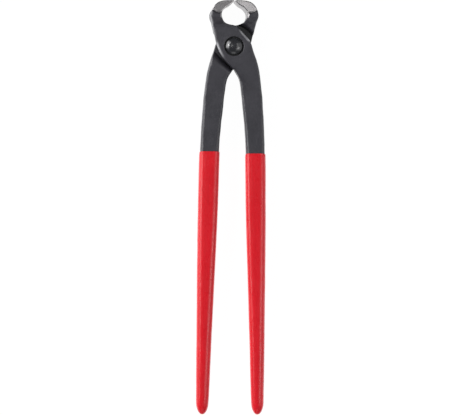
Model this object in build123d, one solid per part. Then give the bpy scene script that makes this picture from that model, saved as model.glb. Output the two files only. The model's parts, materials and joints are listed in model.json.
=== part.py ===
from build123d import *

import os
from math import cos, radians, sin

# End-cutting nippers, the long kind used on tie wire and fence wire.
#
# Two equal forged levers cross in a half-lap joint on one rivet. Each lever is jaw, joint plate, arm
# and handle in one piece, and each handle has a dipped plastic coat. Sizes are in millimetres.
#
# Everything is modelled about the pivot: +Y runs from the handles to the cutting edges, +Z is the pivot
# axis, and z = 0 is the lap plane, where the two joint plates meet. The front lever has its jaw on the
# left (-X) and its handle on the right, and its joint plate is the upper one (+Z). The rear lever is
# the front lever turned half a turn about Y. The written parts are moved so that the origin is the
# middle of the underside of the tool lying flat.

# Driving dimensions
OVERALL_LENGTH = 280.0
PIVOT_TO_EDGE = 31.0  # pivot axis to the tips of the cutting edges
EDGE_GAP = 0.6  # between the cutting edges as drawn, nearly closed
PLATE = 6.5  # thickness of one lever's joint plate
JAW_HALF_DEPTH = 12.0
ARM_HALF_THICKNESS = 4.4
LAP_CLEARANCE = 0.05  # each plate stands this far off the lap plane
EDGE_RADIUS = 1.2  # rounding along the edges of the forged head
COAT = 0.65  # thickness of the dipped plastic
LIP_RADIUS = 0.45
COAT_START_FRONT = -72.7
COAT_START_REAR = -71.6
DIP_SLANT = -7.0  # the dip line climbs towards the rear

# Clearing cut from the rear half of the front lever, in which the rear lever's joint plate turns
WALL_FOOT_RADIUS = 14.7  # steep wall under the jaw
WALL_FACE_RADIUS = 16.5
WALL_RIM_RADIUS = 19.0
RAMP_DIRECTION = -46.0  # from +X, the way that the ramp up to the arm climbs
RAMP_FOOT = 11.8  # distances from the pivot along that direction
RAMP_MIDDLE = 12.5
RAMP_SHOULDER = 14.1
RAMP_FACE = 17.8

# Rivet
SHANK_RADIUS = 4.0
BORE_CLEARANCE = 0.05
HEAD_RADIUS = 5.6
HEAD_BROW_RADIUS = 3.5
HEAD_STANDS_PROUD = 1.3
HEAD_SHOULDER_BELOW = 0.5  # under the plate's face
RECESS_RADIUS = 6.6
RECESS_DEPTH = 2.0
TAIL_RADIUS = 5.5
TAIL_DEPTH = 1.6

# Ground pocket on both faces of each jaw, dipping towards the cutting edge
POCKET_CENTRE = (-10.5, 27.9)
POCKET_RADIUS = 5.45
POCKET_DEPTH = 1.2
POCKET_DIP = 6.0
POCKET_RIM_RADIUS = 0.8

SEAM_Y = -34.0  # head above, arm and handle below
END_Y = PIVOT_TO_EDGE - OVERALL_LENGTH
TIP_LENGTH = 8.5
TIP_TURNS = (0, 25, 50, 70, 84)  # sections of the rounded handle end, in degrees of its quarter ellipse

# Bare arm and handle: distance below the pivot, centre, width, thickness, corner radius
STATIONS = [
    (-SEAM_Y, 12.92, 13.66, 2 * ARM_HALF_THICKNESS, EDGE_RADIUS),
    (50.0, 14.30, 13.15, 8.8, 1.9),
    (72.0, 15.55, 12.65, 8.8, 2.2),
    (104.0, 16.15, 12.50, 8.7, 2.6),
    (132.0, 16.70, 11.80, 8.4, 2.9),
    (159.0, 17.25, 10.75, 8.0, 3.2),
    (186.0, 17.75, 9.70, 7.5, 3.4),
    (213.0, 18.25, 8.70, 7.0, 3.4),
    (-END_Y - TIP_LENGTH, 18.70, 7.35, 6.5, 3.2),
]


def head_outline():
    """The front lever's head from in front: jaw on the left, arm leaving to the lower right."""
    tip = (-EDGE_GAP / 2, PIVOT_TO_EDGE)
    land_foot = (-EDGE_GAP / 2, PIVOT_TO_EDGE - 0.6)
    bevel_foot = (-3.2, 27.6)
    flank_top = (-14.75, 15.3)
    flank_foot = (-11.75, 1.6)
    flank_way = (0.214, -0.977)
    plate_corner = (9.9, 5.1)
    plate_top = (2.9, 12.87)
    plate_way = (-0.669, 0.743)
    (_, centre, width, _, _) = STATIONS[0]
    arm_inner = (centre - width / 2, SEAM_Y)
    arm_outer = (centre + width / 2, SEAM_Y)
    arm_way = (0.115, -0.993)

    land = Line(land_foot, tip)
    back = Spline(
        [tip, (-5.2, 30.85), (-10.1, 29.95), (-13.1, 28.0), (-15.2, 24.4), (-16.0, 20.4), flank_top],
        tangents=[(-1, 0), flank_way],
    )
    flank = Line(flank_top, flank_foot)
    inner = Spline(
        [flank_foot, (-10.2, -3.0), (-8.0, -7.1), (-4.7, -11.3), (-0.3, -15.2), (2.6, -18.9)]
        + [(4.55, -23.4), (5.5, -29.2), arm_inner],
        tangents=[flank_way, arm_way],
    )
    seam = Line(arm_inner, arm_outer)
    outer = Spline(
        [arm_outer, (18.4, -23.0), (16.3, -12.1), (12.75, -1.3), (11.45, 2.6), plate_corner],
        tangents=[(-0.115, 0.993), plate_way],
    )
    plate_edge = Line(plate_corner, plate_top)
    throat = Spline(
        [plate_top, (1.1, 13.95), (-3.3, 14.85), (-6.9, 16.6), (-8.8, 20.4), (-8.1, 23.7), (-6.2, 25.9)]
        + [bevel_foot],
        tangents=[plate_way, (0.87, 0.5)],
    )
    bevel = Line(bevel_foot, land_foot)
    return make_face([land, back, flank, inner, seam, outer, plate_edge, throat, bevel])


def head_side():
    """The head from the side: flat over the joint, thinner at the arm, flared to the jaws' depth."""
    top_y = PIVOT_TO_EDGE + 2
    front = [
        Spline([(SEAM_Y, ARM_HALF_THICKNESS), (-19.0, 5.5), (-9.0, PLATE)], tangents=[(1, 0), (1, 0)]),
        Line((-9.0, PLATE), (12.0, PLATE)),
        Spline([(12.0, PLATE), (16.2, 9.2), (20.4, JAW_HALF_DEPTH)], tangents=[(1, 0), (1, 0)]),
        Line((20.4, JAW_HALF_DEPTH), (top_y, JAW_HALF_DEPTH)),
    ]
    rear = [edge.mirror(Plane.XZ) for edge in front]
    ends = [
        Line((SEAM_Y, ARM_HALF_THICKNESS), (SEAM_Y, -ARM_HALF_THICKNESS)),
        Line((top_y, JAW_HALF_DEPTH), (top_y, -JAW_HALF_DEPTH)),
    ]
    side = Plane(origin=(0, 0, 0), x_dir=(0, 1, 0), z_dir=(1, 0, 0))
    return side * make_face(front + rear + ends)


def station_outline(station, grow):
    """One section of arm or handle, grown all round by a coat's thickness."""
    (below, centre, width, thickness, corner) = station
    place = Plane(origin=(centre, -below, 0), x_dir=(1, 0, 0), z_dir=(0, 1, 0))
    return place * RectangleRounded(width + 2 * grow, thickness + 2 * grow, corner + grow)


def handle(grow, start=None):
    """Arm and handle through their sections; start is the head's end face, where there is one."""
    first = start or station_outline(STATIONS[0], grow)
    shaft = loft([first] + [station_outline(station, grow) for station in STATIONS[1:]])
    (below, centre, width, thickness, corner) = STATIONS[-1]
    reach = (TIP_LENGTH - COAT + grow) / sin(radians(TIP_TURNS[-1]))
    tip = []
    for turn in TIP_TURNS:
        y = -below - reach * sin(radians(turn))
        place = Plane(origin=(centre, y, 0), x_dir=(1, 0, 0), z_dir=(0, 1, 0))
        outline = RectangleRounded(width + 2 * grow, thickness + 2 * grow, corner + grow)
        tip.append(place * scale(outline, cos(radians(turn))))
    return shaft + loft(tip)


def grip(start_y, tilt, lever):
    """The dipped coat on the front lever's handle, with a rounded lip where the dip ended."""
    above = Pos(0, start_y, 0) * Rot(tilt, 0, 0) * Pos(0, 50, 0) * Box(100, 100, 100)
    skin = handle(COAT) - above
    lip = skin.faces().sort_by(Axis.Y)[-1]
    return fillet(lip.edges(), LIP_RADIUS) - lever


def round_run(solid, point, radius):
    """Rounds the smooth run of edges passing nearest a point, on the front face and on the rear."""
    (x, y, z) = point
    for level in (z, -z):
        edge = solid.edges().sort_by_distance((x, y, level))[0]
        solid = fillet(edge, radius)
    return solid


def head_blank():
    """The head's forging before machining, with its edges rounded."""
    outline = Pos(0, 0, -15) * head_outline()
    side = Pos(-30, 0, 0) * head_side()
    blank = extrude(outline, amount=30) & extrude(side, amount=60)
    blank = round_run(blank, (-10.0, 29.8, JAW_HALF_DEPTH), EDGE_RADIUS)
    return round_run(blank, (-8.8, 22.0, JAW_HALF_DEPTH), EDGE_RADIUS)


def jaw_bowl():
    """Half a bowl about the pivot, with the steep wall under the jaw."""
    axis_top = (0, LAP_CLEARANCE)
    axis_foot = (0, -JAW_HALF_DEPTH - 2)
    foot = (WALL_FOOT_RADIUS, LAP_CLEARANCE)
    rim = (WALL_RIM_RADIUS + 3, axis_foot[1])
    wall = Spline(
        [foot, (WALL_FACE_RADIUS, -PLATE), (WALL_RIM_RADIUS, -PLATE - 3.2), rim],
        tangents=[(0.2, -1), (1, -1)],
    )
    section = make_face([Line(axis_top, foot), wall, Line(rim, axis_foot), Line(axis_foot, axis_top)])
    bowl = revolve(Plane.XZ * section, axis=Axis.Z)
    return bowl & Pos(0, 50, 0) * Box(100, 100, 100)


def arm_block():
    """What lies below the pivot, up to the rounded ramp that climbs to the arm's face."""
    (near, depth) = (-40, -JAW_HALF_DEPTH - 2)
    foot = (RAMP_FOOT, LAP_CLEARANCE)
    rim = (RAMP_FACE, -PLATE - 0.1)
    ramp = Spline(
        [foot, (RAMP_MIDDLE, -2.8), (RAMP_SHOULDER, -5.1), rim],
        tangents=[(0.1, -1), (1, -0.12)],
    )
    outline = [
        Line((near, LAP_CLEARANCE), foot),
        ramp,
        Line(rim, (RAMP_FACE, depth)),
        Line((RAMP_FACE, depth), (near, depth)),
        Line((near, depth), (near, LAP_CLEARANCE)),
    ]
    block = extrude(Plane.XZ * make_face(outline), amount=40, both=True)
    return Rot(0, 0, RAMP_DIRECTION) * block & Pos(0, -50, 0) * Box(100, 100, 100)


def pocket():
    """The grinding wheel's path across the front of the jaw, running out at the cutting edge."""
    (x, y) = POCKET_CENTRE
    floor = JAW_HALF_DEPTH - POCKET_DEPTH
    start = Plane(origin=(x, y, floor), z_dir=(-sin(radians(-POCKET_DIP)), 0, cos(radians(POCKET_DIP))))
    wheel = Circle(POCKET_RADIUS) + Pos(8, 0) * Rectangle(16, 2 * POCKET_RADIUS)
    path = extrude(start * wheel, amount=8)
    foot = path.edges().filter_by(GeomType.CIRCLE).sort_by(Axis.Z)[0]
    return fillet(foot, POCKET_RIM_RADIUS)


def forging():
    """One machined lever without its bore; both levers are made from it."""
    path = pocket()
    head = head_blank()
    lever = head + handle(0, head.faces().sort_by(Axis.Y)[0])
    for cut in [path, path.mirror(Plane.XY), jaw_bowl(), arm_block()]:
        lever -= cut
    return lever


def rivet():
    """Shank with a domed head sunk in the front plate and a tail upset flush with the rear plate."""
    under = PLATE - RECESS_DEPTH + LAP_CLEARANCE
    crown = PLATE + HEAD_STANDS_PROUD
    tail = -PLATE
    shoulder = (HEAD_RADIUS, PLATE - HEAD_SHOULDER_BELOW)
    brow = (HEAD_BROW_RADIUS, crown - 0.5)
    section = make_face(
        [
            Line((0, tail), (TAIL_RADIUS, tail)),
            Line((TAIL_RADIUS, tail), (SHANK_RADIUS, tail + TAIL_DEPTH)),
            Line((SHANK_RADIUS, tail + TAIL_DEPTH), (SHANK_RADIUS, under)),
            Line((SHANK_RADIUS, under), (HEAD_RADIUS, under)),
            Line((HEAD_RADIUS, under), shoulder),
            Spline([shoulder, brow, (0, crown)], tangents=[(-0.6, 1), (-1, 0)]),
            Line((0, crown), (0, tail)),
        ]
    )
    return revolve(Plane.XZ * section, axis=Axis.Z)


def main():
    os.makedirs("parts", exist_ok=True)
    half_turn = Rot(0, 180, 0)
    blank = forging()
    pin = rivet()
    bore = Cylinder(SHANK_RADIUS + BORE_CLEARANCE, 4 * PLATE)
    recess = Pos(0, 0, PLATE - RECESS_DEPTH + 5) * Cylinder(RECESS_RADIUS, 10)
    parts = {
        "front_lever": blank - bore - recess,
        "rear_lever": half_turn * blank - pin,
        "pivot_rivet": pin,
        "front_grip": grip(COAT_START_FRONT, DIP_SLANT, blank),
        "rear_grip": half_turn * grip(COAT_START_REAR, -DIP_SLANT, blank),
    }
    to_frame = Pos(0, OVERALL_LENGTH / 2 - PIVOT_TO_EDGE, JAW_HALF_DEPTH)
    for name, part in parts.items():
        export_step(to_frame * part, f"parts/{name}.step")


main()
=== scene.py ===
"""Looks for the long end-cutting nippers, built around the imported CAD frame."""

import json
import math

import bmesh
import bpy
import numpy as np
from mathutils import Matrix, Vector
from mathutils.bvhtree import BVHTree


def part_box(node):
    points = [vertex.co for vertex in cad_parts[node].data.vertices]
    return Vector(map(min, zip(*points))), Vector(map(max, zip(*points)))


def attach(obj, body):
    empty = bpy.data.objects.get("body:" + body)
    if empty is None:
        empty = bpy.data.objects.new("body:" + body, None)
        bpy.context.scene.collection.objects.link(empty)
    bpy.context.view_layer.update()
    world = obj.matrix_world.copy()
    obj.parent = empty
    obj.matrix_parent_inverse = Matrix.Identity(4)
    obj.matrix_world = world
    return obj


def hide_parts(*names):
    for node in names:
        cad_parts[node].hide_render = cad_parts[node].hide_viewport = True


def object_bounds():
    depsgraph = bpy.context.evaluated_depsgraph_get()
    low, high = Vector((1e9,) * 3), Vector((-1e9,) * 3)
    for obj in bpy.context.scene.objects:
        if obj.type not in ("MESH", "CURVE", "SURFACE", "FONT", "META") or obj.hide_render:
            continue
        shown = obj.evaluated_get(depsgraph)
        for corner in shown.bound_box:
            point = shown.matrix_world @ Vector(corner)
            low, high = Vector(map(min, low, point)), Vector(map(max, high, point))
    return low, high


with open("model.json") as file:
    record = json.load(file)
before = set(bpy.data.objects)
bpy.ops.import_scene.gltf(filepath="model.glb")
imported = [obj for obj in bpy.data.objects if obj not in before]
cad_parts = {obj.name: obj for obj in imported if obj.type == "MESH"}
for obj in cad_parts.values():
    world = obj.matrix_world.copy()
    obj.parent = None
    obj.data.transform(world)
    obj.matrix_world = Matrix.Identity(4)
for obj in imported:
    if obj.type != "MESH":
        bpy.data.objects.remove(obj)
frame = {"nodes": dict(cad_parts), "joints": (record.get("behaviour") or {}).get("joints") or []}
CAD_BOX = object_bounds()

MM = 0.001
PIVOT = Vector(frame["joints"][0]["pos_m"])
SCENE = bpy.context.scene

# Places on the forgings are measured from the pivot. A pair of numbers is a band: what it names
# comes in, or goes out, from the first number to the second.

VOXEL = 0.32 * MM                   # spacing of the skin's even mesh
WELD = 1e-7
TINY = 1e-9                         # keeps a division by a length from failing
COAT_COVERS = -78 * MM              # below this the steel is hidden in its coat
COVERED = (COAT_COVERS - 2 * MM, COAT_COVERS)
DRAWN_IN = (COAT_COVERS - 4 * MM, COAT_COVERS)
HIDDEN_INSET = 0.3 * MM             # how far the hidden core is drawn in, clear of the coat
HIDDEN_SHARE = 0.03                 # share of the hidden steel's mesh that is kept
CLEARED_HALF = {"front_lever": -1, "rear_lever": 1}    # side of the lap cut away for the other lever

# Sharp corners, dulled a little
DULLED_KEENNESS = (0.04, 0.12)
DULLING = 0.5
DULLING_ROUNDS = 4

# Edges of the two plates that rub as they pass, above and below the rivet: rubbed metal with a painted
# highlight
RUBBED_HIGHLIGHT_KEENNESS = (0.035, 0.08)
RUBBED_HIGHLIGHT_ABOVE_OUT = (3 * MM, 5 * MM)
RUBBED_HIGHLIGHT_ABOVE_FROM = (2.5 * MM, 4.5 * MM)
RUBBED_HIGHLIGHT_ABOVE_TO = (11 * MM, 14 * MM)
RUBBED_HIGHLIGHT_BELOW_OUT = (2 * MM, 5 * MM)
RUBBED_HIGHLIGHT_BELOW_FROM = (-9 * MM, -4 * MM)
RUBBED_HIGHLIGHT_BELOW_TO = (0.5 * MM, 3.5 * MM)
RUBBED_HIGHLIGHT_FACE = -4.8 * MM
RUBBED_HIGHLIGHT_CLEAR_OF_RIVET = 9 * MM
RUBBED_HIGHLIGHT_FEATHER = 3

# The ramp from the lap up to the arm's face
RAMP_UPHILL = (0.695, 0.719)
RAMP_FOOT = (12.0 * MM, 12.8 * MM)
RAMP_TOP = (21 * MM, 23 * MM)
RAMP_BELOW = -2 * MM
RAMP_SIDE = (0.5 * MM, 1.0 * MM)
RAMP_LEVEL = (0.3, 0.6)
RAMP_FEATHER = 4
RAMP_SOFTENING = 0.6
RAMP_ROUNDS = 36

# Where the forged skin gives way to machining
LAP = (0.5 * MM, 1.6 * MM)
LAP_REACH = (21 * MM, 24 * MM)
RECESS_REACH = 7.3 * MM
FORGED_BEYOND = (RECESS_REACH, RECESS_REACH + MM)

# Ground faces of the jaws: pockets, top, outer flank and cutting bevel
POCKET_CENTRE = (10.5 * MM, 27.9 * MM)
POCKET_EDGE = (5.45 * MM, 5.75 * MM)
JAW_HALF_DEPTH = 12 * MM
JAW_FACE = (8.0 * MM, 8.6 * MM)
JAW_LEVEL = (0.15, 0.3)
POCKET_DEPTH = (JAW_HALF_DEPTH - 0.08 * MM, JAW_HALF_DEPTH - 0.03 * MM)
TOP_FROM = (26.4 * MM, 27.0 * MM)
TOP_UPWARD = (0.55, 0.75)
FLANK_FROM = (22.5 * MM, 25.5 * MM)
FLANK_OUTWARD = (0.55, 0.85)
FLANK_BEYOND = 12 * MM
BEVEL_FROM = (18.6 * MM, 19.4 * MM)
BEVEL_INWARD = (0.2, 0.45)
BEVEL_WITHIN = 11 * MM

# The clearing for the other lever and the rivet's seat: rougher, and darkened with painted shade, the lower
# clearing only in part
PLATE_THICK = (6.0 * MM, 6.3 * MM)
CLEARED_REACH = (14.6 * MM, 16.6 * MM)
CLEARED_SIDE = (-0.3 * MM, -0.1 * MM)
CLEARED_UPPER = (-2 * MM, 2 * MM)
CLEARED_LOWER_SHARE = 0.3
RECESS_EDGE = (6.75 * MM, 6.9 * MM)

# The rim of each pocket, rolled over by the grinding wheel, and darkened with painted shade
RIM_REACH = (5.5 * MM, 6.9 * MM)
RIM_FROM = 20 * MM
RIM_LEVEL = (0.5, 0.8)
RIM_FACE = (10.8 * MM, 11.4 * MM)
RIM_DROP = 0.42 * MM

# The forged skin's swells, and the flash line along its flanks
SWELL_HEIGHT = 0.035 * MM
SWELL_LENGTH = 9 * MM
RIPPLE_HEIGHT = 0.014 * MM
RIPPLE_LENGTH = 2.4 * MM
FLASH_HEIGHT = 0.13 * MM
FLASH_WIDTH = 0.55 * MM
FLASH_FROM = (21 * MM, 26 * MM)
FLASH_MEAN = 0.8
FLASH_RAGGED = 0.35
FLASH_RAGGED_LENGTH = 6 * MM
FLASH_RAGGED_LIMITS = (0.2, 1.4)
FLASH_UPRIGHT = (0.55, 0.9)
THROAT_HALF = 9.6 * MM

# Coats
COAT = 0.65 * MM
LIP = 0.42 * MM
LIP_OVERHANG = 0.05 * MM
LIP_TURNS = (170, 150, 125, 100, 75, 50, 28, 10)
RING_POINTS = 72
SECTION_ROUNDS = 10                 # how far the skin rounds the handle's corners
PROBE_BELOW_TOP = 6 * MM
OUTSIDE = 0.03                      # a place well clear of the handle, in metres
RAY_LENGTH = 0.1
DIP_SEARCHES = 14
WHOLE_SHARE = 0.8                   # of the full reach that still counts as on the skin
EDGE_CLEARANCE = 0.5 * MM           # the skin is looked for this far inside its edge
TIP_CLEARANCE = 0.004 * MM
LIP_STEPS = (LIP, 0.7 * MM, 1.1 * MM, 1.7 * MM, 2.5 * MM, 3.6 * MM, 5 * MM)
SHAFT_FROM = 7 * MM
SHAFT_PITCH = 2.4 * MM
TIP_LENGTH = 9 * MM
TIP_TURNS = (12, 24, 34, 43, 51, 58, 64, 70, 75, 80, 84, 87)
TIP_RINGS = ((0.8, 0.62), (0.5, 0.22))    # shares of the last ring's width and distance to the tip
CAVITY_LEVELS = (0, 3, 6, 10)       # rings copied inside the coat, close together at its mouth
CAVITY_FROM = 15
CAVITY_PITCH = 6
CAVITY_SHORT = 5                    # rings left solid at the tip
COAT_SWELL_HEIGHT = 0.035 * MM
COAT_SWELL_LENGTH = 13 * MM
COAT_RIPPLE_HEIGHT = 0.010 * MM
COAT_RIPPLE_LENGTH = 3.5 * MM
COAT_SWELL_SHARE = 0.6

# Rivet, in millimetres: radius and height from the pivot, or radius and height above the tail's end
RIVET_HEAD = 5.6
CROWN_SHARES = (0.12, 0.25, 0.37, 0.48, 0.57, 0.65, 0.72, 0.79, 0.85, 0.91, 0.96, 0.985)
CROWN_DROP = 1.8
CROWN_POWER = 2.7
BROW_DROP = 1.9
RIVET_SIDE = (
    (RIVET_HEAD, 5.4), (RIVET_HEAD, 4.9), (5.57, 4.62), (5.5, 4.56), (4.3, 4.56),
    (4.02, 4.5), (4.0, 4.3), (4.0, -4.8), (4.02, -4.92),
)
RIVET_TAIL = ((5.36, 0.12), (5.42, 0.03), (5.3, 0.0), (4.0, 0.02), (2.0, 0.04), (0.0, 0.05))
RIVET_TURNS = 96
PEENED_FROM = (6.3 * MM, 7.2 * MM)
PEENED_HEIGHT = 0.002 * MM
PEENED_LENGTH = 2.6 * MM
PEENED_SEED = 71


# ---------------------------------------------------------------- mesh tools

def mesh_arrays(mesh):
    """The mesh's points and their normals."""
    points = np.zeros(len(mesh.vertices) * 3)
    mesh.vertices.foreach_get("co", points)
    normals = np.zeros(len(mesh.vertices) * 3)
    mesh.vertices.foreach_get("normal", normals)
    return points.reshape(-1, 3), normals.reshape(-1, 3)


def set_points(mesh, points):
    mesh.vertices.foreach_set("co", np.asarray(points, np.float32).ravel())
    mesh.update()


def mesh_edges(mesh):
    edges = np.zeros(len(mesh.edges) * 2, np.int64)
    mesh.edges.foreach_get("vertices", edges)
    return edges.reshape(-1, 2).T


def rise(band, value):
    """0 below the band, 1 above it, smooth between."""
    (low, high) = band
    t = np.clip((value - low) / (high - low), 0, 1)
    return t * t * (3 - 2 * t)


def fall(band, value):
    """1 below the band, 0 above it, smooth between."""
    return 1 - rise(band, value)


def waves(points, wavelength, seed, count=28):
    """A smooth random field of about unit size with bumps of that wavelength."""
    rng = np.random.default_rng(seed)
    directions = rng.normal(size=(count, 3))
    directions /= np.linalg.norm(directions, axis=1)[:, None]
    pitch = 2 * math.pi / (wavelength * rng.uniform(0.75, 1.5, count))
    phase = rng.uniform(0, 2 * math.pi, count)
    return np.cos(points @ (directions * pitch[:, None]).T + phase).sum(1) / math.sqrt(count / 2)


def float_attribute(mesh, name, values):
    attribute = mesh.attributes.new(name, "FLOAT", "POINT")
    attribute.data.foreach_set("value", np.asarray(values, np.float32))


def new_object(name, mesh):
    obj = bpy.data.objects.new(name, mesh)
    SCENE.collection.objects.link(obj)
    return obj


def applied(obj, name):
    """A new mesh holding obj as its modifiers leave it. The object goes."""
    depsgraph = bpy.context.evaluated_depsgraph_get()
    mesh = bpy.data.meshes.new_from_object(obj.evaluated_get(depsgraph))
    mesh.name = name
    bpy.data.objects.remove(obj)
    return mesh


def subdivided(bm, name):
    """The mesh of a hand-built cage, subdivided once."""
    bmesh.ops.recalc_face_normals(bm, faces=bm.faces)
    mesh = bpy.data.meshes.new(name)
    bm.to_mesh(mesh)
    bm.free()
    cage = new_object(name + "_base", mesh)
    smooth = cage.modifiers.new("smooth", "SUBSURF")
    smooth.levels = 1
    smooth.render_levels = 1
    return applied(cage, name)


def skin_of(node):
    """The CAD node's surface as a search tree."""
    mesh = frame["nodes"][node].data
    mesh.calc_loop_triangles()
    corners = [v.co.copy() for v in mesh.vertices]
    return BVHTree.FromPolygons(corners, [tuple(t.vertices) for t in mesh.loop_triangles])


def place_piece(obj, body, material, node):
    obj.data.materials.clear()
    obj.data.materials.append(material)
    obj.data.polygons.foreach_set("use_smooth", [True] * len(obj.data.polygons))
    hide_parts(node)
    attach(obj, body)


# ---------------------------------------------------------------- forgings

def neighbour_mean(edges, values):
    """Each point's mean over its neighbours, for one value a point or several."""
    (a, b) = edges
    size = len(values)
    count = np.maximum(np.bincount(a, minlength=size) + np.bincount(b, minlength=size), 1)
    flat = values.reshape(size, -1)
    total = [
        np.bincount(a, column[b], size) + np.bincount(b, column[a], size)
        for column in flat.T
    ]
    return (np.array(total) / count).T.reshape(values.shape)


def edge_sharpness(edges, points, normals, rounds=2):
    """How far each point stands out from its neighbours, spread a little way."""
    (a, b) = edges
    size = len(points)
    step = points[b] - points[a]
    step /= np.maximum(np.linalg.norm(step, axis=1), TINY)[:, None]
    total = np.bincount(b, (step * normals[b]).sum(1), size)
    total -= np.bincount(a, (step * normals[a]).sum(1), size)
    count = np.bincount(a, minlength=size) + np.bincount(b, minlength=size)
    value = total / np.maximum(count, 1)
    for _ in range(rounds):
        value = 0.5 * value + 0.5 * neighbour_mean(edges, value)
    return value


def soften(edges, points, weight, rounds):
    """Rounds off what stands out, point by point, by each point's weight."""
    for _ in range(rounds):
        points = points + weight[:, None] * (neighbour_mean(edges, points) - points)
    return points


def feathered(edges, mask, rounds):
    """The mask with its border spread over the neighbouring points."""
    for _ in range(rounds):
        mask = neighbour_mean(edges, mask)
    return mask


def from_pivot_xyz(points):
    return (points - np.array(PIVOT)).T


def even_mesh(node, name):
    """The CAD node's skin again, on an even fine mesh."""
    source = new_object(name + "_source", frame["nodes"][node].data.copy())
    bm = bmesh.new()
    bm.from_mesh(source.data)
    bmesh.ops.remove_doubles(bm, verts=bm.verts, dist=WELD)
    bm.to_mesh(source.data)
    bm.free()
    remesh = source.modifiers.new("even", "REMESH")
    remesh.mode = "VOXEL"
    remesh.voxel_size = VOXEL
    mesh = applied(source, name)
    (points, _) = mesh_arrays(mesh)
    skin = skin_of(node)
    set_points(mesh, np.array([skin.find_nearest(Vector(p))[0] for p in points]))
    return mesh


def rubbed_and_highlight_edges(x, y, z, half, from_pivot, keen):
    """The plate's outer edges where the two levers pass: rubbed metal with a painted highlight."""
    out = -x * half
    above = rise(RUBBED_HIGHLIGHT_ABOVE_OUT, out) * rise(RUBBED_HIGHLIGHT_ABOVE_FROM, y) * fall(RUBBED_HIGHLIGHT_ABOVE_TO, y)
    below = rise(RUBBED_HIGHLIGHT_BELOW_OUT, -out) * rise(RUBBED_HIGHLIGHT_BELOW_FROM, y) * fall(RUBBED_HIGHLIGHT_BELOW_TO, y)
    on_plate = (z * half < RUBBED_HIGHLIGHT_FACE) * (from_pivot > RUBBED_HIGHLIGHT_CLEAR_OF_RIVET)
    return np.maximum(above, below) * rise(RUBBED_HIGHLIGHT_KEENNESS, keen) * on_plate


def arm_ramp(x, y, z, half, normals):
    """The slope from the lap up to the arm's face."""
    uphill = -RAMP_UPHILL[1] * y - RAMP_UPHILL[0] * x * half
    ramp = rise(RAMP_FOOT, uphill) * fall(RAMP_TOP, uphill)
    ramp *= (y < RAMP_BELOW) * rise(RAMP_SIDE, z * half)
    return ramp * rise(RAMP_LEVEL, np.abs(normals[:, 2]))


def to_pocket_path(x, y):
    """Distance from the line that the grinding wheel's axis follows across a jaw."""
    inwards = POCKET_CENTRE[0] - np.abs(x)
    upwards = y - POCKET_CENTRE[1]
    return np.where(inwards < 0, np.hypot(inwards, upwards), np.abs(upwards))


def ground_faces(x, y, z, normals):
    """The jaws' pockets, top, outer flank and cutting bevel."""
    outward = normals[:, 0] * np.sign(x)
    level = rise(JAW_LEVEL, np.abs(normals[:, 2]))
    sunk = fall(POCKET_DEPTH, np.abs(z))
    pocket = fall(POCKET_EDGE, to_pocket_path(x, y)) * rise(JAW_FACE, np.abs(z))
    pocket = pocket * np.maximum(sunk * (level > 0), level * sunk)
    top = rise(TOP_FROM, y) * rise(TOP_UPWARD, normals[:, 1])
    flank = rise(FLANK_FROM, y) * rise(FLANK_OUTWARD, outward)
    top = np.maximum(top, flank * (np.abs(x) > FLANK_BEYOND))
    bevel = rise(BEVEL_FROM, y) * rise(BEVEL_INWARD, -outward) * (np.abs(x) < BEVEL_WITHIN)
    return np.clip(pocket + top + bevel, 0, 1)


def machined_and_shaded_faces(y, z, half, from_pivot):
    """The other lever's clearing and the rivet's seat, for their roughness and for painted shade."""
    cleared = fall(CLEARED_REACH, from_pivot)
    upper_share = CLEARED_LOWER_SHARE + (1 - CLEARED_LOWER_SHARE) * rise(CLEARED_UPPER, y)
    cleared *= rise(CLEARED_SIDE, z * half) * upper_share
    recess = fall(RECESS_EDGE, from_pivot)
    return np.maximum(cleared, recess) * fall(PLATE_THICK, np.abs(z))


def rolled_rim(x, y, z, normals, ground):
    """The band round each pocket that the wheel rolled over, dropped a little and darkened with painted
    shade.
    """
    rim_and_shade = fall(RIM_REACH, to_pocket_path(x, y)) * (1 - ground) * (y > RIM_FROM)
    return rim_and_shade * (rise(RIM_LEVEL, np.abs(normals[:, 2])) * rise(RIM_FACE, np.abs(z)))


def flash_line(points, x, y, z, normals, from_pivot, seed):
    """The trimmed seam of the forging dies along the flanks, clear of the other lever."""
    flank = rise(FLASH_UPRIGHT, np.hypot(normals[:, 0], normals[:, 1]))
    throat = (y > 0) & (np.abs(x) < THROAT_HALF)
    away = rise(FLASH_FROM, from_pivot) * (1 - throat)
    ragged = FLASH_MEAN + FLASH_RAGGED * waves(points, FLASH_RAGGED_LENGTH, seed)
    ragged = np.clip(ragged, *FLASH_RAGGED_LIMITS)
    return FLASH_HEIGHT * np.exp(-((z / FLASH_WIDTH) ** 2)) * flank * away * ragged


def thinned(mesh, name, hidden):
    """The mesh with few faces left where the coat hides the steel."""
    coarse = new_object(name + "_coarse", mesh)
    group = coarse.vertex_groups.new(name="hidden")
    group.add([int(i) for i in hidden], 1.0, "REPLACE")
    share = len(hidden) / len(mesh.vertices)
    thin = coarse.modifiers.new("thin", "DECIMATE")
    thin.ratio = 1 - share * (1 - HIDDEN_SHARE)
    thin.vertex_group = group.name
    return applied(coarse, name)


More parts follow.
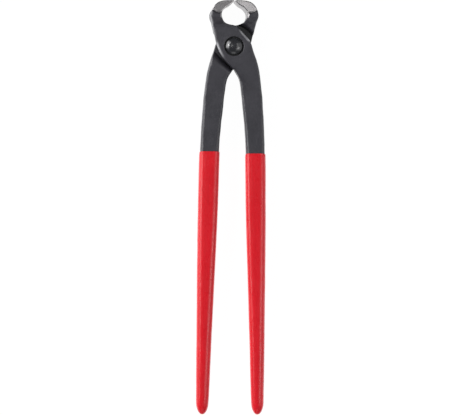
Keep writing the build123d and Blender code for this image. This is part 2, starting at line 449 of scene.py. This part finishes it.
def forged_mesh(node, name, seed):
    """A lever's skin: softened corners, ground jaws, swells and flash, coarse inside its coat."""
    mesh = even_mesh(node, name)
    edges = mesh_edges(mesh)
    (points, normals) = mesh_arrays(mesh)
    (x, y, z) = from_pivot_xyz(points)
    from_pivot = np.hypot(x, y)
    visible = rise(COVERED, y)
    half = CLEARED_HALF[node]

    # Corners left sharp by machining are dulled, and the ramp up to the arm flows into its face.
    keen = np.abs(edge_sharpness(edges, points, normals, 1))
    dulled = rise(DULLED_KEENNESS, keen) * DULLING * visible * (from_pivot >= RECESS_REACH)
    points = soften(edges, points, dulled, DULLING_ROUNDS)
    # The plates' passing edges: rubbed metal, and a painted highlight.
    rubbed_and_highlight = feathered(edges, rubbed_and_highlight_edges(x, y, z, half, from_pivot, keen), RUBBED_HIGHLIGHT_FEATHER)
    ramp = feathered(edges, arm_ramp(x, y, z, half, normals), RAMP_FEATHER)
    points = soften(edges, points, ramp * RAMP_SOFTENING, RAMP_ROUNDS)
    set_points(mesh, points)
    (points, normals) = mesh_arrays(mesh)
    (x, y, z) = from_pivot_xyz(points)

    # The lap, the rivet's seat and the ground faces have no forged skin.
    ground = ground_faces(x, y, z, normals)
    lap = fall(LAP, np.abs(z)) * fall(LAP_REACH, from_pivot)
    forged = (1 - lap) * rise(FORGED_BEYOND, from_pivot) * visible
    forged *= 1 - ground
    # The clearing, the rivet's seat and the pocket rims are marked for roughness and for painted shade.
    machined_and_shade = machined_and_shaded_faces(y, z, half, from_pivot)
    rim_and_shade = rolled_rim(x, y, z, normals, ground)
    points[:, 2] -= np.sign(z) * RIM_DROP * rim_and_shade

    swell = SWELL_HEIGHT * waves(points, SWELL_LENGTH, seed)
    swell = swell + RIPPLE_HEIGHT * waves(points, RIPPLE_LENGTH, seed + 1)
    flash = flash_line(points, x, y, z, normals, from_pivot, seed + 2)
    drawn_in = HIDDEN_INSET * fall(DRAWN_IN, y)
    points = points + normals * ((swell + flash) * forged - drawn_in)[:, None]
    set_points(mesh, points)
    (points, normals) = mesh_arrays(mesh)
    float_attribute(mesh, "ground", ground)
    float_attribute(mesh, "rim_and_shade", rim_and_shade)
    float_attribute(mesh, "machined_and_shade", machined_and_shade)
    float_attribute(mesh, "rubbed_and_highlight", rubbed_and_highlight)
    float_attribute(mesh, "edge", edge_sharpness(edges, points, normals))
    return thinned(mesh, name, np.flatnonzero(y < COAT_COVERS))


# ---------------------------------------------------------------- coats

class Handle:
    """Finds a coat's outer surface by looking in at it from outside."""

    def __init__(self, node):
        self.skin = skin_of(node)
        (low, high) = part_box(node)
        self.tip = low.y
        self.top = high.y
        self.mid_x = (low.x + high.x) / 2
        self.probe = self.top - PROBE_BELOW_TOP    # a height where the coat is whole all round
        self.top_centre = self.centre(self.probe)

    def seen(self, start, towards):
        return self.skin.ray_cast(start, towards, RAY_LENGTH)[0]

    def centre(self, y):
        """The centre line's x at that height, or None beyond the coat."""
        left = self.seen(Vector((self.mid_x - OUTSIDE, y, PIVOT.z)), Vector((1, 0, 0)))
        right = self.seen(Vector((self.mid_x + OUTSIDE, y, PIVOT.z)), Vector((-1, 0, 0)))
        return (left.x + right.x) / 2 if left and right else None

    def outer(self, angle, y, centre):
        towards = Vector((math.cos(angle), 0, math.sin(angle)))
        start = Vector((centre, y, PIVOT.z)) + towards * OUTSIDE
        return self.seen(start, -towards)

    def reach(self, angle, y):
        """Distance from the centre line to the skin, or 0 where there is none."""
        found = self.outer(angle, y, self.top_centre)
        return (found - Vector((self.top_centre, y, PIVOT.z))).length if found else 0

    def edge(self, angle):
        """The height where the skin ends at that angle, on its slanted dip line."""
        (inside, beyond) = (self.probe, self.top + MM)
        full = self.reach(angle, self.probe)
        for _ in range(DIP_SEARCHES):
            y = (inside + beyond) / 2
            on_skin = self.reach(angle, y) > WHOLE_SHARE * full
            (inside, beyond) = (y, beyond) if on_skin else (inside, y)
        return inside


def ring_steps(length):
    """Distances down the coat: close together at the lip, and again round the tip."""
    steps = list(LIP_STEPS) + list(np.arange(SHAFT_FROM, length - TIP_LENGTH, SHAFT_PITCH))
    left = length - steps[-1]
    return steps + [length - left * math.cos(math.radians(turn)) for turn in TIP_TURNS]


def coat_rings(handle):
    """Rings of points down the coat's outside, and the distances they are at."""
    angles = [2 * math.pi * k / RING_POINTS for k in range(RING_POINTS)]
    tops = [handle.edge(angle) for angle in angles]
    tip = handle.tip
    length = max(tops) - tip
    steps = ring_steps(length)
    rings = []
    for step in steps:
        ring = []
        share = step / length
        for (angle, top) in zip(angles, tops):
            y = max(top + (tip - top) * share, tip + TIP_CLEARANCE)
            centre = handle.centre(min(y, handle.probe)) or handle.mid_x
            found = handle.outer(angle, min(y, top - EDGE_CLEARANCE), centre)
            ring.append(Vector((found.x, y, found.z)))
        rings.append(ring)
    rings = np.array(rings)
    for _ in range(SECTION_ROUNDS):
        around = np.roll(rings, 1, axis=1) + np.roll(rings, -1, axis=1)
        rings = 0.5 * rings + 0.25 * around
    return rings


def coat_mesh(node, name, seed):
    """A dipped skin: rings round the handle, a rolled lip at the top and the cavity inside."""
    handle = Handle(node)
    tip = handle.tip
    outside = coat_rings(handle)
    flat = outside.reshape(-1, 3)
    swell = COAT_SWELL_HEIGHT * waves(flat, COAT_SWELL_LENGTH, seed)
    swell += COAT_RIPPLE_HEIGHT * waves(flat, COAT_RIPPLE_LENGTH, seed + 1)
    swell = swell.reshape(outside.shape[:2])
    axis = outside.copy()
    axis[..., 0] = outside[..., 0].mean(axis=1)[:, None]
    axis[..., 2] = PIVOT.z
    out = outside - axis
    out /= np.maximum(np.linalg.norm(out, axis=2), TINY)[..., None]
    outside = outside + out * swell[..., None] * COAT_SWELL_SHARE

    # Cavity, from its end up to the lip, then over the lip and down the outside to the tip.
    deepest = len(outside) - CAVITY_SHORT
    levels = list(CAVITY_LEVELS) + list(range(CAVITY_FROM, deepest, CAVITY_PITCH)) + [deepest]
    rings = [outside[i] - out[i] * COAT for i in reversed(levels)]
    half = COAT / 2
    for degrees in LIP_TURNS:
        turn = math.radians(degrees)
        ring = outside[0] - out[0] * (half - (half + LIP_OVERHANG) * math.cos(turn))
        rings.append(ring + np.array([0, LIP * math.sin(turn), 0]))
    rings += list(outside)
    (last, middle) = (outside[-1], axis[-1])
    for (width, left) in TIP_RINGS:
        ring = middle + (last - middle) * width
        ring[:, 1] = tip + (last[:, 1] - tip) * left
        rings.append(ring)

    bm = bmesh.new()
    loops = [[bm.verts.new(tuple(p)) for p in ring] for ring in rings]
    for (upper, lower) in zip(loops, loops[1:]):
        for k in range(RING_POINTS):
            j = (k + 1) % RING_POINTS
            bm.faces.new((upper[k], upper[j], lower[j], lower[k]))
    for (loop, end) in ((loops[0], None), (loops[-1], tip)):
        middle = sum((v.co for v in loop), Vector()) / RING_POINTS
        middle.y = middle.y if end is None else end
        pole = bm.verts.new(middle)
        for k in range(RING_POINTS):
            bm.faces.new((loop[k], loop[(k + 1) % RING_POINTS], pole))
    return subdivided(bm, name)


# ---------------------------------------------------------------- rivet

def rivet_profile():
    """Radius and height from the crown's middle, over the head and shank, to the tail's middle."""
    (low, high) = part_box("pivot_rivet")
    crown = (high.z - PIVOT.z) / MM
    tail = (low.z - PIVOT.z) / MM
    profile = [(0.0, crown)]
    for share in CROWN_SHARES:
        profile.append((RIVET_HEAD * share, crown - CROWN_DROP * share ** CROWN_POWER))
    profile.append((RIVET_HEAD, crown - BROW_DROP))
    profile += RIVET_SIDE
    profile += [(radius, tail + height) for (radius, height) in RIVET_TAIL]
    return profile


def rivet_mesh(name):
    """A turned rivet: slightly dished crown, soft brow, seat under the head, tail upset flush."""
    bm = bmesh.new()
    rings = []
    for (radius, height) in rivet_profile():
        count = RIVET_TURNS if radius else 1
        ring = []
        for k in range(count):
            angle = 2 * math.pi * k / RIVET_TURNS
            ring.append(bm.verts.new((
                PIVOT.x + radius * MM * math.cos(angle),
                PIVOT.y + radius * MM * math.sin(angle),
                PIVOT.z + height * MM,
            )))
        rings.append(ring)
    for (upper, lower) in zip(rings, rings[1:]):
        for k in range(RIVET_TURNS):
            j = (k + 1) % RIVET_TURNS
            if len(upper) == 1:
                bm.faces.new((upper[0], lower[k], lower[j]))
            elif len(lower) == 1:
                bm.faces.new((upper[k], lower[0], upper[j]))
            else:
                bm.faces.new((upper[k], lower[k], lower[j], upper[j]))
    result = subdivided(bm, name)
    (points, normals) = mesh_arrays(result)
    shown = rise(PEENED_FROM, points[:, 2] - PIVOT.z)
    peened = PEENED_HEIGHT * waves(points, PEENED_LENGTH, PEENED_SEED)
    set_points(result, points + normals * (peened * shown)[:, None])
    return result


# ---------------------------------------------------------------- materials

class Graph:
    """Short names for building one material's nodes. Scales are in cells per metre."""

    def __init__(self, name):
        self.material = bpy.data.materials.new(name)
        self.material.use_nodes = True
        self.tree = self.material.node_tree
        self.shader = self.tree.nodes["Principled BSDF"]
        self.object = self.node("ShaderNodeTexCoord").outputs["Object"]

    def node(self, kind, **settings):
        made = self.tree.nodes.new(kind)
        for (name, value) in settings.items():
            setattr(made, name, value)
        return made

    def feed(self, socket, value):
        if isinstance(value, bpy.types.NodeSocket):
            self.tree.links.new(value, socket)
        else:
            socket.default_value = value

    def surface(self, **inputs):
        """Feeds the shader's sockets, named with underscores for spaces."""
        for (name, value) in inputs.items():
            self.feed(self.shader.inputs[name.replace("_", " ")], value)

    def math(self, operation, a, b=0.0):
        made = self.node("ShaderNodeMath", operation=operation)
        self.feed(made.inputs[0], a)
        self.feed(made.inputs[1], b)
        return made.outputs[0]

    def times(self, a, b):
        return self.math("MULTIPLY", a, b)

    def plus(self, a, b):
        return self.math("ADD", a, b)

    def greater(self, a, b):
        return self.math("MAXIMUM", a, b)

    def noise(self, scale, detail=3.0, roughness=0.5, distortion=0.0, at=None):
        made = self.node("ShaderNodeTexNoise")
        self.feed(made.inputs["Vector"], at or self.object)
        made.inputs["Scale"].default_value = scale
        made.inputs["Detail"].default_value = detail
        made.inputs["Roughness"].default_value = roughness
        made.inputs["Distortion"].default_value = distortion
        return made.outputs["Fac"]

    def cells(self, scale):
        made = self.node("ShaderNodeTexVoronoi")
        self.feed(made.inputs["Vector"], self.object)
        made.inputs["Scale"].default_value = scale
        return made.outputs["Distance"]

    def span(self, value, low, high, to_low=0.0, to_high=1.0):
        made = self.node("ShaderNodeMapRange")
        made.clamp = True
        self.feed(made.inputs["Value"], value)
        made.inputs["From Min"].default_value = low
        made.inputs["From Max"].default_value = high
        made.inputs["To Min"].default_value = to_low
        made.inputs["To Max"].default_value = to_high
        return made.outputs["Result"]

    def mix(self, factor, a, b):
        """One colour over another."""
        made = self.node("ShaderNodeMix", data_type="RGBA")
        self.feed(made.inputs["Factor"], factor)
        self.feed(made.inputs[6], a if isinstance(a, bpy.types.NodeSocket) else (*a, 1.0))
        self.feed(made.inputs[7], b if isinstance(b, bpy.types.NodeSocket) else (*b, 1.0))
        return made.outputs[2]

    def blend(self, factor, a, b):
        """One number over another."""
        made = self.node("ShaderNodeMix", data_type="FLOAT")
        self.feed(made.inputs["Factor"], factor)
        self.feed(made.inputs[2], a)
        self.feed(made.inputs[3], b)
        return made.outputs[0]

    def attribute(self, name):
        return self.node("ShaderNodeAttribute", attribute_name=name).outputs["Fac"]

    def bump(self, height, distance, under=None):
        made = self.node("ShaderNodeBump")
        made.inputs["Strength"].default_value = 1.0
        made.inputs["Distance"].default_value = distance
        self.feed(made.inputs["Height"], height)
        if under:
            self.feed(made.inputs["Normal"], under)
        return made.outputs["Normal"]

    def streaks(self, factors, detail, roughness, distortion=0.0):
        """Noise drawn out along the axes with the smaller factors."""
        made = self.node("ShaderNodeMapping")
        self.feed(made.inputs["Vector"], self.object)
        made.inputs["Scale"].default_value = factors
        return self.noise(1.0, detail, roughness, distortion, made.outputs["Vector"])

    def position(self):
        made = self.node("ShaderNodeSeparateXYZ")
        self.feed(made.inputs[0], self.object)
        return made.outputs

    def polar(self, side, up):
        """Distance and direction of the point that is side across and up."""
        reach = self.math("SQRT", self.plus(self.times(side, side), self.times(up, up)))
        return reach, self.math("ARCTAN2", up, side)

    def rings(self, polar, pitch, sweep, layer, detail, roughness):
        """Noise drawn out round a centre: pitch sets how fine the rings are, sweep how long."""
        (reach, around) = polar
        made = self.node("ShaderNodeCombineXYZ")
        for (socket, value) in zip(made.inputs, (self.times(reach, pitch), self.times(around, sweep), layer)):
            self.feed(socket, value)
        return self.noise(1.0, detail, roughness, 0.0, made.outputs[0])


OXIDE_DEEP = (0.0140, 0.0130, 0.0185)
OXIDE_PALE = (0.0235, 0.0220, 0.0295)
OXIDE_GRAIN = (0.040, 0.039, 0.046)
OXIDE_SPOT = (0.008, 0.0075, 0.008)
# Painted shade for the clearings, the rivet's seat and the rim round each pocket
OXIDE_PAINTED_SHADE = (0.0035, 0.0035, 0.0042)
OXIDE_WORN = (0.23, 0.23, 0.235)
GROUND_DEEP = (0.325, 0.311, 0.313)
GROUND_PALE = (0.39, 0.377, 0.381)
GROUND_STAIN = (0.17, 0.145, 0.145)
# Bright metal of the plates' passing edges: rubbed through, and a painted highlight
RUBBED_METAL_AND_HIGHLIGHT = (0.62, 0.62, 0.64)

HEAD_DEEP = (0.003, 0.0032, 0.0052)
HEAD_PALE = (0.0055, 0.0058, 0.009)
HEAD_RINGS = (0.016, 0.017, 0.021)

RED_DEEP = (0.585, 0.0040, 0.0110)
RED_PALE = (0.640, 0.0055, 0.0145)
RED_RUNS = (0.545, 0.0030, 0.0090)
RED_SPECK = (0.28, 0.004, 0.008)


def steel_material():
    """Black oxide over a blasted forging, worn at the edges, with the jaws' ground faces bright, painted
    shade in the clearings, the rivet's seat and round the pockets, and a painted highlight on the plates'
    passing edges.
    """
    g = Graph("forged_black_steel")
    blotch = g.noise(95, 5, 0.55, 0.3)
    grain = g.noise(2300, 4, 0.6)
    fine = g.noise(7500, 2, 0.6)
    scale_spots = g.span(g.cells(1500), 0.02, 0.16, 1.0, 0.0)
    spots = g.times(scale_spots, g.span(g.noise(260, 2), 0.52, 0.64))
    machined_and_shade = g.attribute("machined_and_shade")
    rim_and_shade = g.attribute("rim_and_shade")

    oxide = g.mix(g.span(blotch, 0.32, 0.68), OXIDE_DEEP, OXIDE_PALE)
    oxide = g.mix(g.span(grain, 0.35, 0.72, 0.0, 0.45), oxide, OXIDE_GRAIN)
    oxide = g.mix(g.times(spots, 0.7), oxide, OXIDE_SPOT)
    # Painted shade: the clearings, the rivet's seat and the pocket rims are darkened.
    oxide = g.mix(g.times(g.greater(rim_and_shade, machined_and_shade), 0.9), oxide, OXIDE_PAINTED_SHADE)

    # Oxide worn thin along corners, and rubbed through where the plates pass, with a painted highlight there.
    wear = g.span(g.attribute("edge"), 0.10, 0.34)
    wear = g.times(wear, g.span(g.noise(420, 4, 0.65), 0.38, 0.62))
    rubbed_and_highlight = g.times(g.attribute("rubbed_and_highlight"), g.span(g.noise(300, 3, 0.6), 0.30, 0.50, 0.35, 1.0))
    wear = g.greater(wear, rubbed_and_highlight)
    oxide = g.mix(g.times(wear, 0.55), oxide, OXIDE_WORN)
    rough = g.span(blotch, 0.3, 0.7, 0.36, 0.50)
    rough = g.plus(rough, g.span(grain, 0.3, 0.7, -0.05, 0.06))
    rough = g.blend(wear, rough, 0.34)
    rough = g.blend(rim_and_shade, rough, 0.27)
    rough = g.blend(machined_and_shade, rough, 0.55)

    # Wheel marks: arcs about each pocket's axis, and straight lines on the other ground faces.
    (x, y, _) = g.position()
    side = g.math("SUBTRACT", g.math("ABSOLUTE", x), POCKET_CENTRE[0])
    polar = g.polar(side, g.math("SUBTRACT", y, PIVOT.y + POCKET_CENTRE[1]))
    arcs = g.rings(polar, 3000, 1.6, 0.0, 2, 0.55)
    sweeps = g.rings(polar, 1100, 1.1, 3.0, 2, 0.5)
    lines = g.streaks((900, 350, 6000), 3, 0.7)
    in_pocket = g.span(polar[0], 5.9 * MM, 6.1 * MM, 1.0, 0.0)
    marks = g.blend(in_pocket, lines, g.blend(0.72, arcs, sweeps))
    stain = g.span(g.noise(480, 4, 0.6, 0.5), 0.50, 0.72)
    bright = g.mix(g.span(marks, 0.30, 0.70), GROUND_DEEP, GROUND_PALE)
    bright = g.mix(g.times(stain, 0.25), bright, GROUND_STAIN)
    polished = g.span(marks, 0.3, 0.7, 0.26, 0.31)

    ground = g.span(g.attribute("ground"), 0.35, 0.65)
    skin = g.plus(grain, g.times(fine, 0.35))
    skin = g.math("SUBTRACT", skin, g.times(spots, 0.9))
    normal = g.bump(g.times(skin, g.math("SUBTRACT", 1.0, ground)), 0.030 * MM)
    scored = g.plus(g.times(marks, 0.15), sweeps)
    # The plates' passing edges are painted bright metal: rubbed through, and a painted highlight.
    g.surface(
        Base_Color=g.mix(rubbed_and_highlight, g.mix(ground, oxide, bright), RUBBED_METAL_AND_HIGHLIGHT),
        Metallic=g.greater(ground, g.greater(g.times(wear, 0.5), rubbed_and_highlight)),
        Roughness=g.blend(ground, rough, polished),
        Normal=g.bump(g.times(scored, ground), 0.0022 * MM, normal),
        IOR=1.55,
        Coat_Weight=0.12,
        Coat_Roughness=0.22,
    )
    return g.material


def rivet_material():
    """The same oxide on a smooth turned head, with faint turning rings."""
    g = Graph("rivet_black_steel")
    (x, y, _) = g.position()
    polar = g.polar(g.math("SUBTRACT", x, PIVOT.x), g.math("SUBTRACT", y, PIVOT.y))
    rings = g.rings(polar, 4200, 0.8, 0.0, 3, 0.6)
    blotch = g.noise(330, 4, 0.6, 0.4)
    grain = g.noise(3600, 3, 0.6)
    tone = g.mix(g.span(blotch, 0.35, 0.68), HEAD_DEEP, HEAD_PALE)
    g.surface(
        Base_Color=g.mix(g.span(rings, 0.45, 0.75, 0.0, 0.35), tone, HEAD_RINGS),
        Metallic=0.0,
        Roughness=g.plus(g.span(blotch, 0.3, 0.7, 0.19, 0.25), g.span(grain, 0.3, 0.7, -0.02, 0.03)),
        Normal=g.bump(grain, 0.0012 * MM, g.bump(rings, 0.001 * MM)),
        IOR=1.75,
    )
    return g.material


def coat_material():
    """Soft red dipped plastic: slight orange peel, runs along the handle, dust and tiny specks."""
    g = Graph("dipped_red_plastic")
    cloud = g.noise(42, 3, 0.5)
    runs = g.streaks((620, 26, 620), 3, 0.5)
    peel = g.noise(900, 2, 0.45)
    fine = g.noise(4200, 2, 0.5)
    smear = g.streaks((260, 90, 260), 4, 0.6, 0.4)
    specks = g.span(g.cells(520), 0.015, 0.045, 1.0, 0.0)
    specks = g.times(specks, g.span(g.noise(150, 2), 0.58, 0.66))
    tone = g.mix(g.span(cloud, 0.3, 0.7), RED_DEEP, RED_PALE)
    tone = g.mix(g.span(runs, 0.42, 0.72, 0.0, 0.35), tone, RED_RUNS)
    normal = g.bump(g.plus(peel, g.times(runs, 0.8)), 0.028 * MM)
    g.surface(
        Base_Color=g.mix(g.times(specks, 0.5), tone, RED_SPECK),
        Roughness=g.plus(g.span(smear, 0.3, 0.7, 0.23, 0.32), g.span(fine, 0.3, 0.7, -0.02, 0.02)),
        Normal=g.bump(fine, 0.004 * MM, normal),
        IOR=1.42,
        Subsurface_Weight=0.08,
        Subsurface_Radius=(0.0012, 0.0003, 0.0002),
        Coat_Weight=0.06,
        Coat_Roughness=0.25,
    )
    return g.material


# ---------------------------------------------------------------- studio

FLOOR_HALF = 6.0
FLOOR_GAP = 0.05 * MM
FLOOR_GLOW = 0.97                   # how bright the paper shows
FLOOR_REPLY = 0.06                  # how much of the object's shadow shows on it
FLOOR_SHINE = 0.75                  # how brightly it lights the object
PAPER = (0.85, 0.85, 0.86, 1)
ROOM_COLOUR = (0.95, 0.97, 1.0, 1)
ROOM_LIGHT = 0.25

# Name, place, what it points at, width, height, power
LIGHTS = (
    ("key_left", (-1.02, 0.44, 0.62), (0, 0.05, 0.01), 1.25, 1.1, 17.5),
    ("strip_right", (0.73, -0.135, 0.90), (0, -0.135, 0.01), 0.24, 0.43, 1.1),
    ("panel_right", (0.95, 0.0, 1.9), (0, 0.0, 0.01), 2.0, 0.32, 3.4),
    ("glint_left", (-0.68, 0.289, 0.72), (0, 0.109, 0.018), 0.12, 0.16, 1.8),
    ("low_right", (1.2, 0.1, 0.75), (0, 0.05, 0.01), 1.5, 1.5, 4.6),
    ("foot_fill", (0.0, -1.3, 0.9), (0, 0.1, 0.01), 1.0, 0.6, 1.7),
    ("pocket_card", (-0.34, 0.32, 2.2), (0.0, 0.13, 0.01), 0.32, 0.28, 1.35),
)

SENSOR = 36
CLIP = (0.05, 30)
CAMERA_AIM = Vector((-0.95 * MM, 0.15 * MM, 13.0 * MM))
CAMERA_DISTANCE = 1.8
CAMERA_FROM_LEFT = math.radians(4.0)
CAMERA_ROLL = math.radians(0.577)
VIEW_WIDTH = 312.0 * MM


def seen_and_unseen(nodes, links, seen, unseen, out):
    """One shader as the camera sees it, another for the light it gives the object."""
    path = nodes.new("ShaderNodeLightPath")
    either = nodes.new("ShaderNodeMixShader")
    links.new(path.outputs["Is Camera Ray"], either.inputs[0])
    links.new(unseen.outputs[0], either.inputs[1])
    links.new(seen.outputs[0], either.inputs[2])
    links.new(either.outputs[0], out.inputs[0])


def glowing_paper(nodes, links, colour, strength):
    sheet = nodes.new("ShaderNodeBsdfDiffuse")
    sheet.inputs["Color"].default_value = colour
    glow = nodes.new("ShaderNodeEmission")
    glow.inputs["Strength"].default_value = strength
    both = nodes.new("ShaderNodeAddShader")
    links.new(sheet.outputs[0], both.inputs[0])
    links.new(glow.outputs[0], both.inputs[1])
    return both


def floor_material():
    """Pale paper that shows near white, and lights the object as pale grey."""
    material = bpy.data.materials.new("studio_floor")
    material.use_nodes = True
    nodes = material.node_tree.nodes
    links = material.node_tree.links
    nodes.clear()
    out = nodes.new("ShaderNodeOutputMaterial")
    seen = glowing_paper(nodes, links, (FLOOR_REPLY, FLOOR_REPLY, FLOOR_REPLY, 1), FLOOR_GLOW)
    unseen = glowing_paper(nodes, links, PAPER, FLOOR_SHINE)
    seen_and_unseen(nodes, links, seen, unseen, out)
    return material


def make_floor():
    bm = bmesh.new()
    bmesh.ops.create_grid(bm, x_segments=4, y_segments=4, size=FLOOR_HALF)
    mesh = bpy.data.meshes.new("studio_floor")
    bm.to_mesh(mesh)
    bm.free()
    floor = new_object("studio_floor", mesh)
    floor.location.z = CAD_BOX[0].z - FLOOR_GAP
    mesh.materials.append(floor_material())


def make_world():
    world = bpy.data.worlds.new("studio")
    SCENE.world = world
    world.use_nodes = True
    nodes = world.node_tree.nodes
    nodes.clear()
    out = nodes.new("ShaderNodeOutputWorld")
    room = nodes.new("ShaderNodeBackground")
    room.inputs["Color"].default_value = ROOM_COLOUR
    room.inputs["Strength"].default_value = ROOM_LIGHT
    backdrop = nodes.new("ShaderNodeBackground")
    backdrop.inputs["Strength"].default_value = 1.0
    seen_and_unseen(nodes, world.node_tree.links, backdrop, room, out)


def softbox(name, place, target, width, height, power):
    light = bpy.data.lights.new(name, "AREA")
    light.shape = "RECTANGLE"
    light.size = width
    light.size_y = height
    light.energy = power
    obj = bpy.data.objects.new(name, light)
    SCENE.collection.objects.link(obj)
    obj.location = place
    obj.rotation_euler = (Vector(target) - Vector(place)).to_track_quat("-Z", "Y").to_euler()


def make_camera():
    """Above the object, a little to its left, turned a trace."""
    camera = bpy.data.cameras.new("camera")
    camera.sensor_width = SENSOR
    camera.lens = SENSOR * CAMERA_DISTANCE / VIEW_WIDTH
    camera.dof.use_dof = False
    (camera.clip_start, camera.clip_end) = CLIP
    obj = bpy.data.objects.new("camera", camera)
    SCENE.collection.objects.link(obj)
    back = Vector((-math.sin(CAMERA_FROM_LEFT), 0, math.cos(CAMERA_FROM_LEFT)))
    upright = Vector((0, 1, 0))
    across = upright.cross(back)
    right = math.cos(CAMERA_ROLL) * across + math.sin(CAMERA_ROLL) * upright
    up = back.cross(right)
    turn = Matrix((right, up, back)).transposed()
    obj.matrix_world = Matrix.Translation(CAMERA_AIM + back * CAMERA_DISTANCE) @ turn.to_4x4()
    SCENE.camera = obj


# ---------------------------------------------------------------- assembly

steel = steel_material()
plastic = coat_material()
for (body, seed) in (("front", 11), ("rear", 23)):
    lever = body + "_lever"
    grip = body + "_grip"
    forging = new_object(body + "_forging", forged_mesh(lever, body + "_forging", seed))
    place_piece(forging, body, steel, lever)
    coat = new_object(body + "_coat", coat_mesh(grip, body + "_coat", seed + 5))
    place_piece(coat, body, plastic, grip)
rivet = new_object("domed_rivet", rivet_mesh("domed_rivet"))
place_piece(rivet, "rear", rivet_material(), "pivot_rivet")

make_floor()
make_world()
for light in LIGHTS:
    softbox(*light)
make_camera()
SCENE.view_settings.view_transform = "Standard"
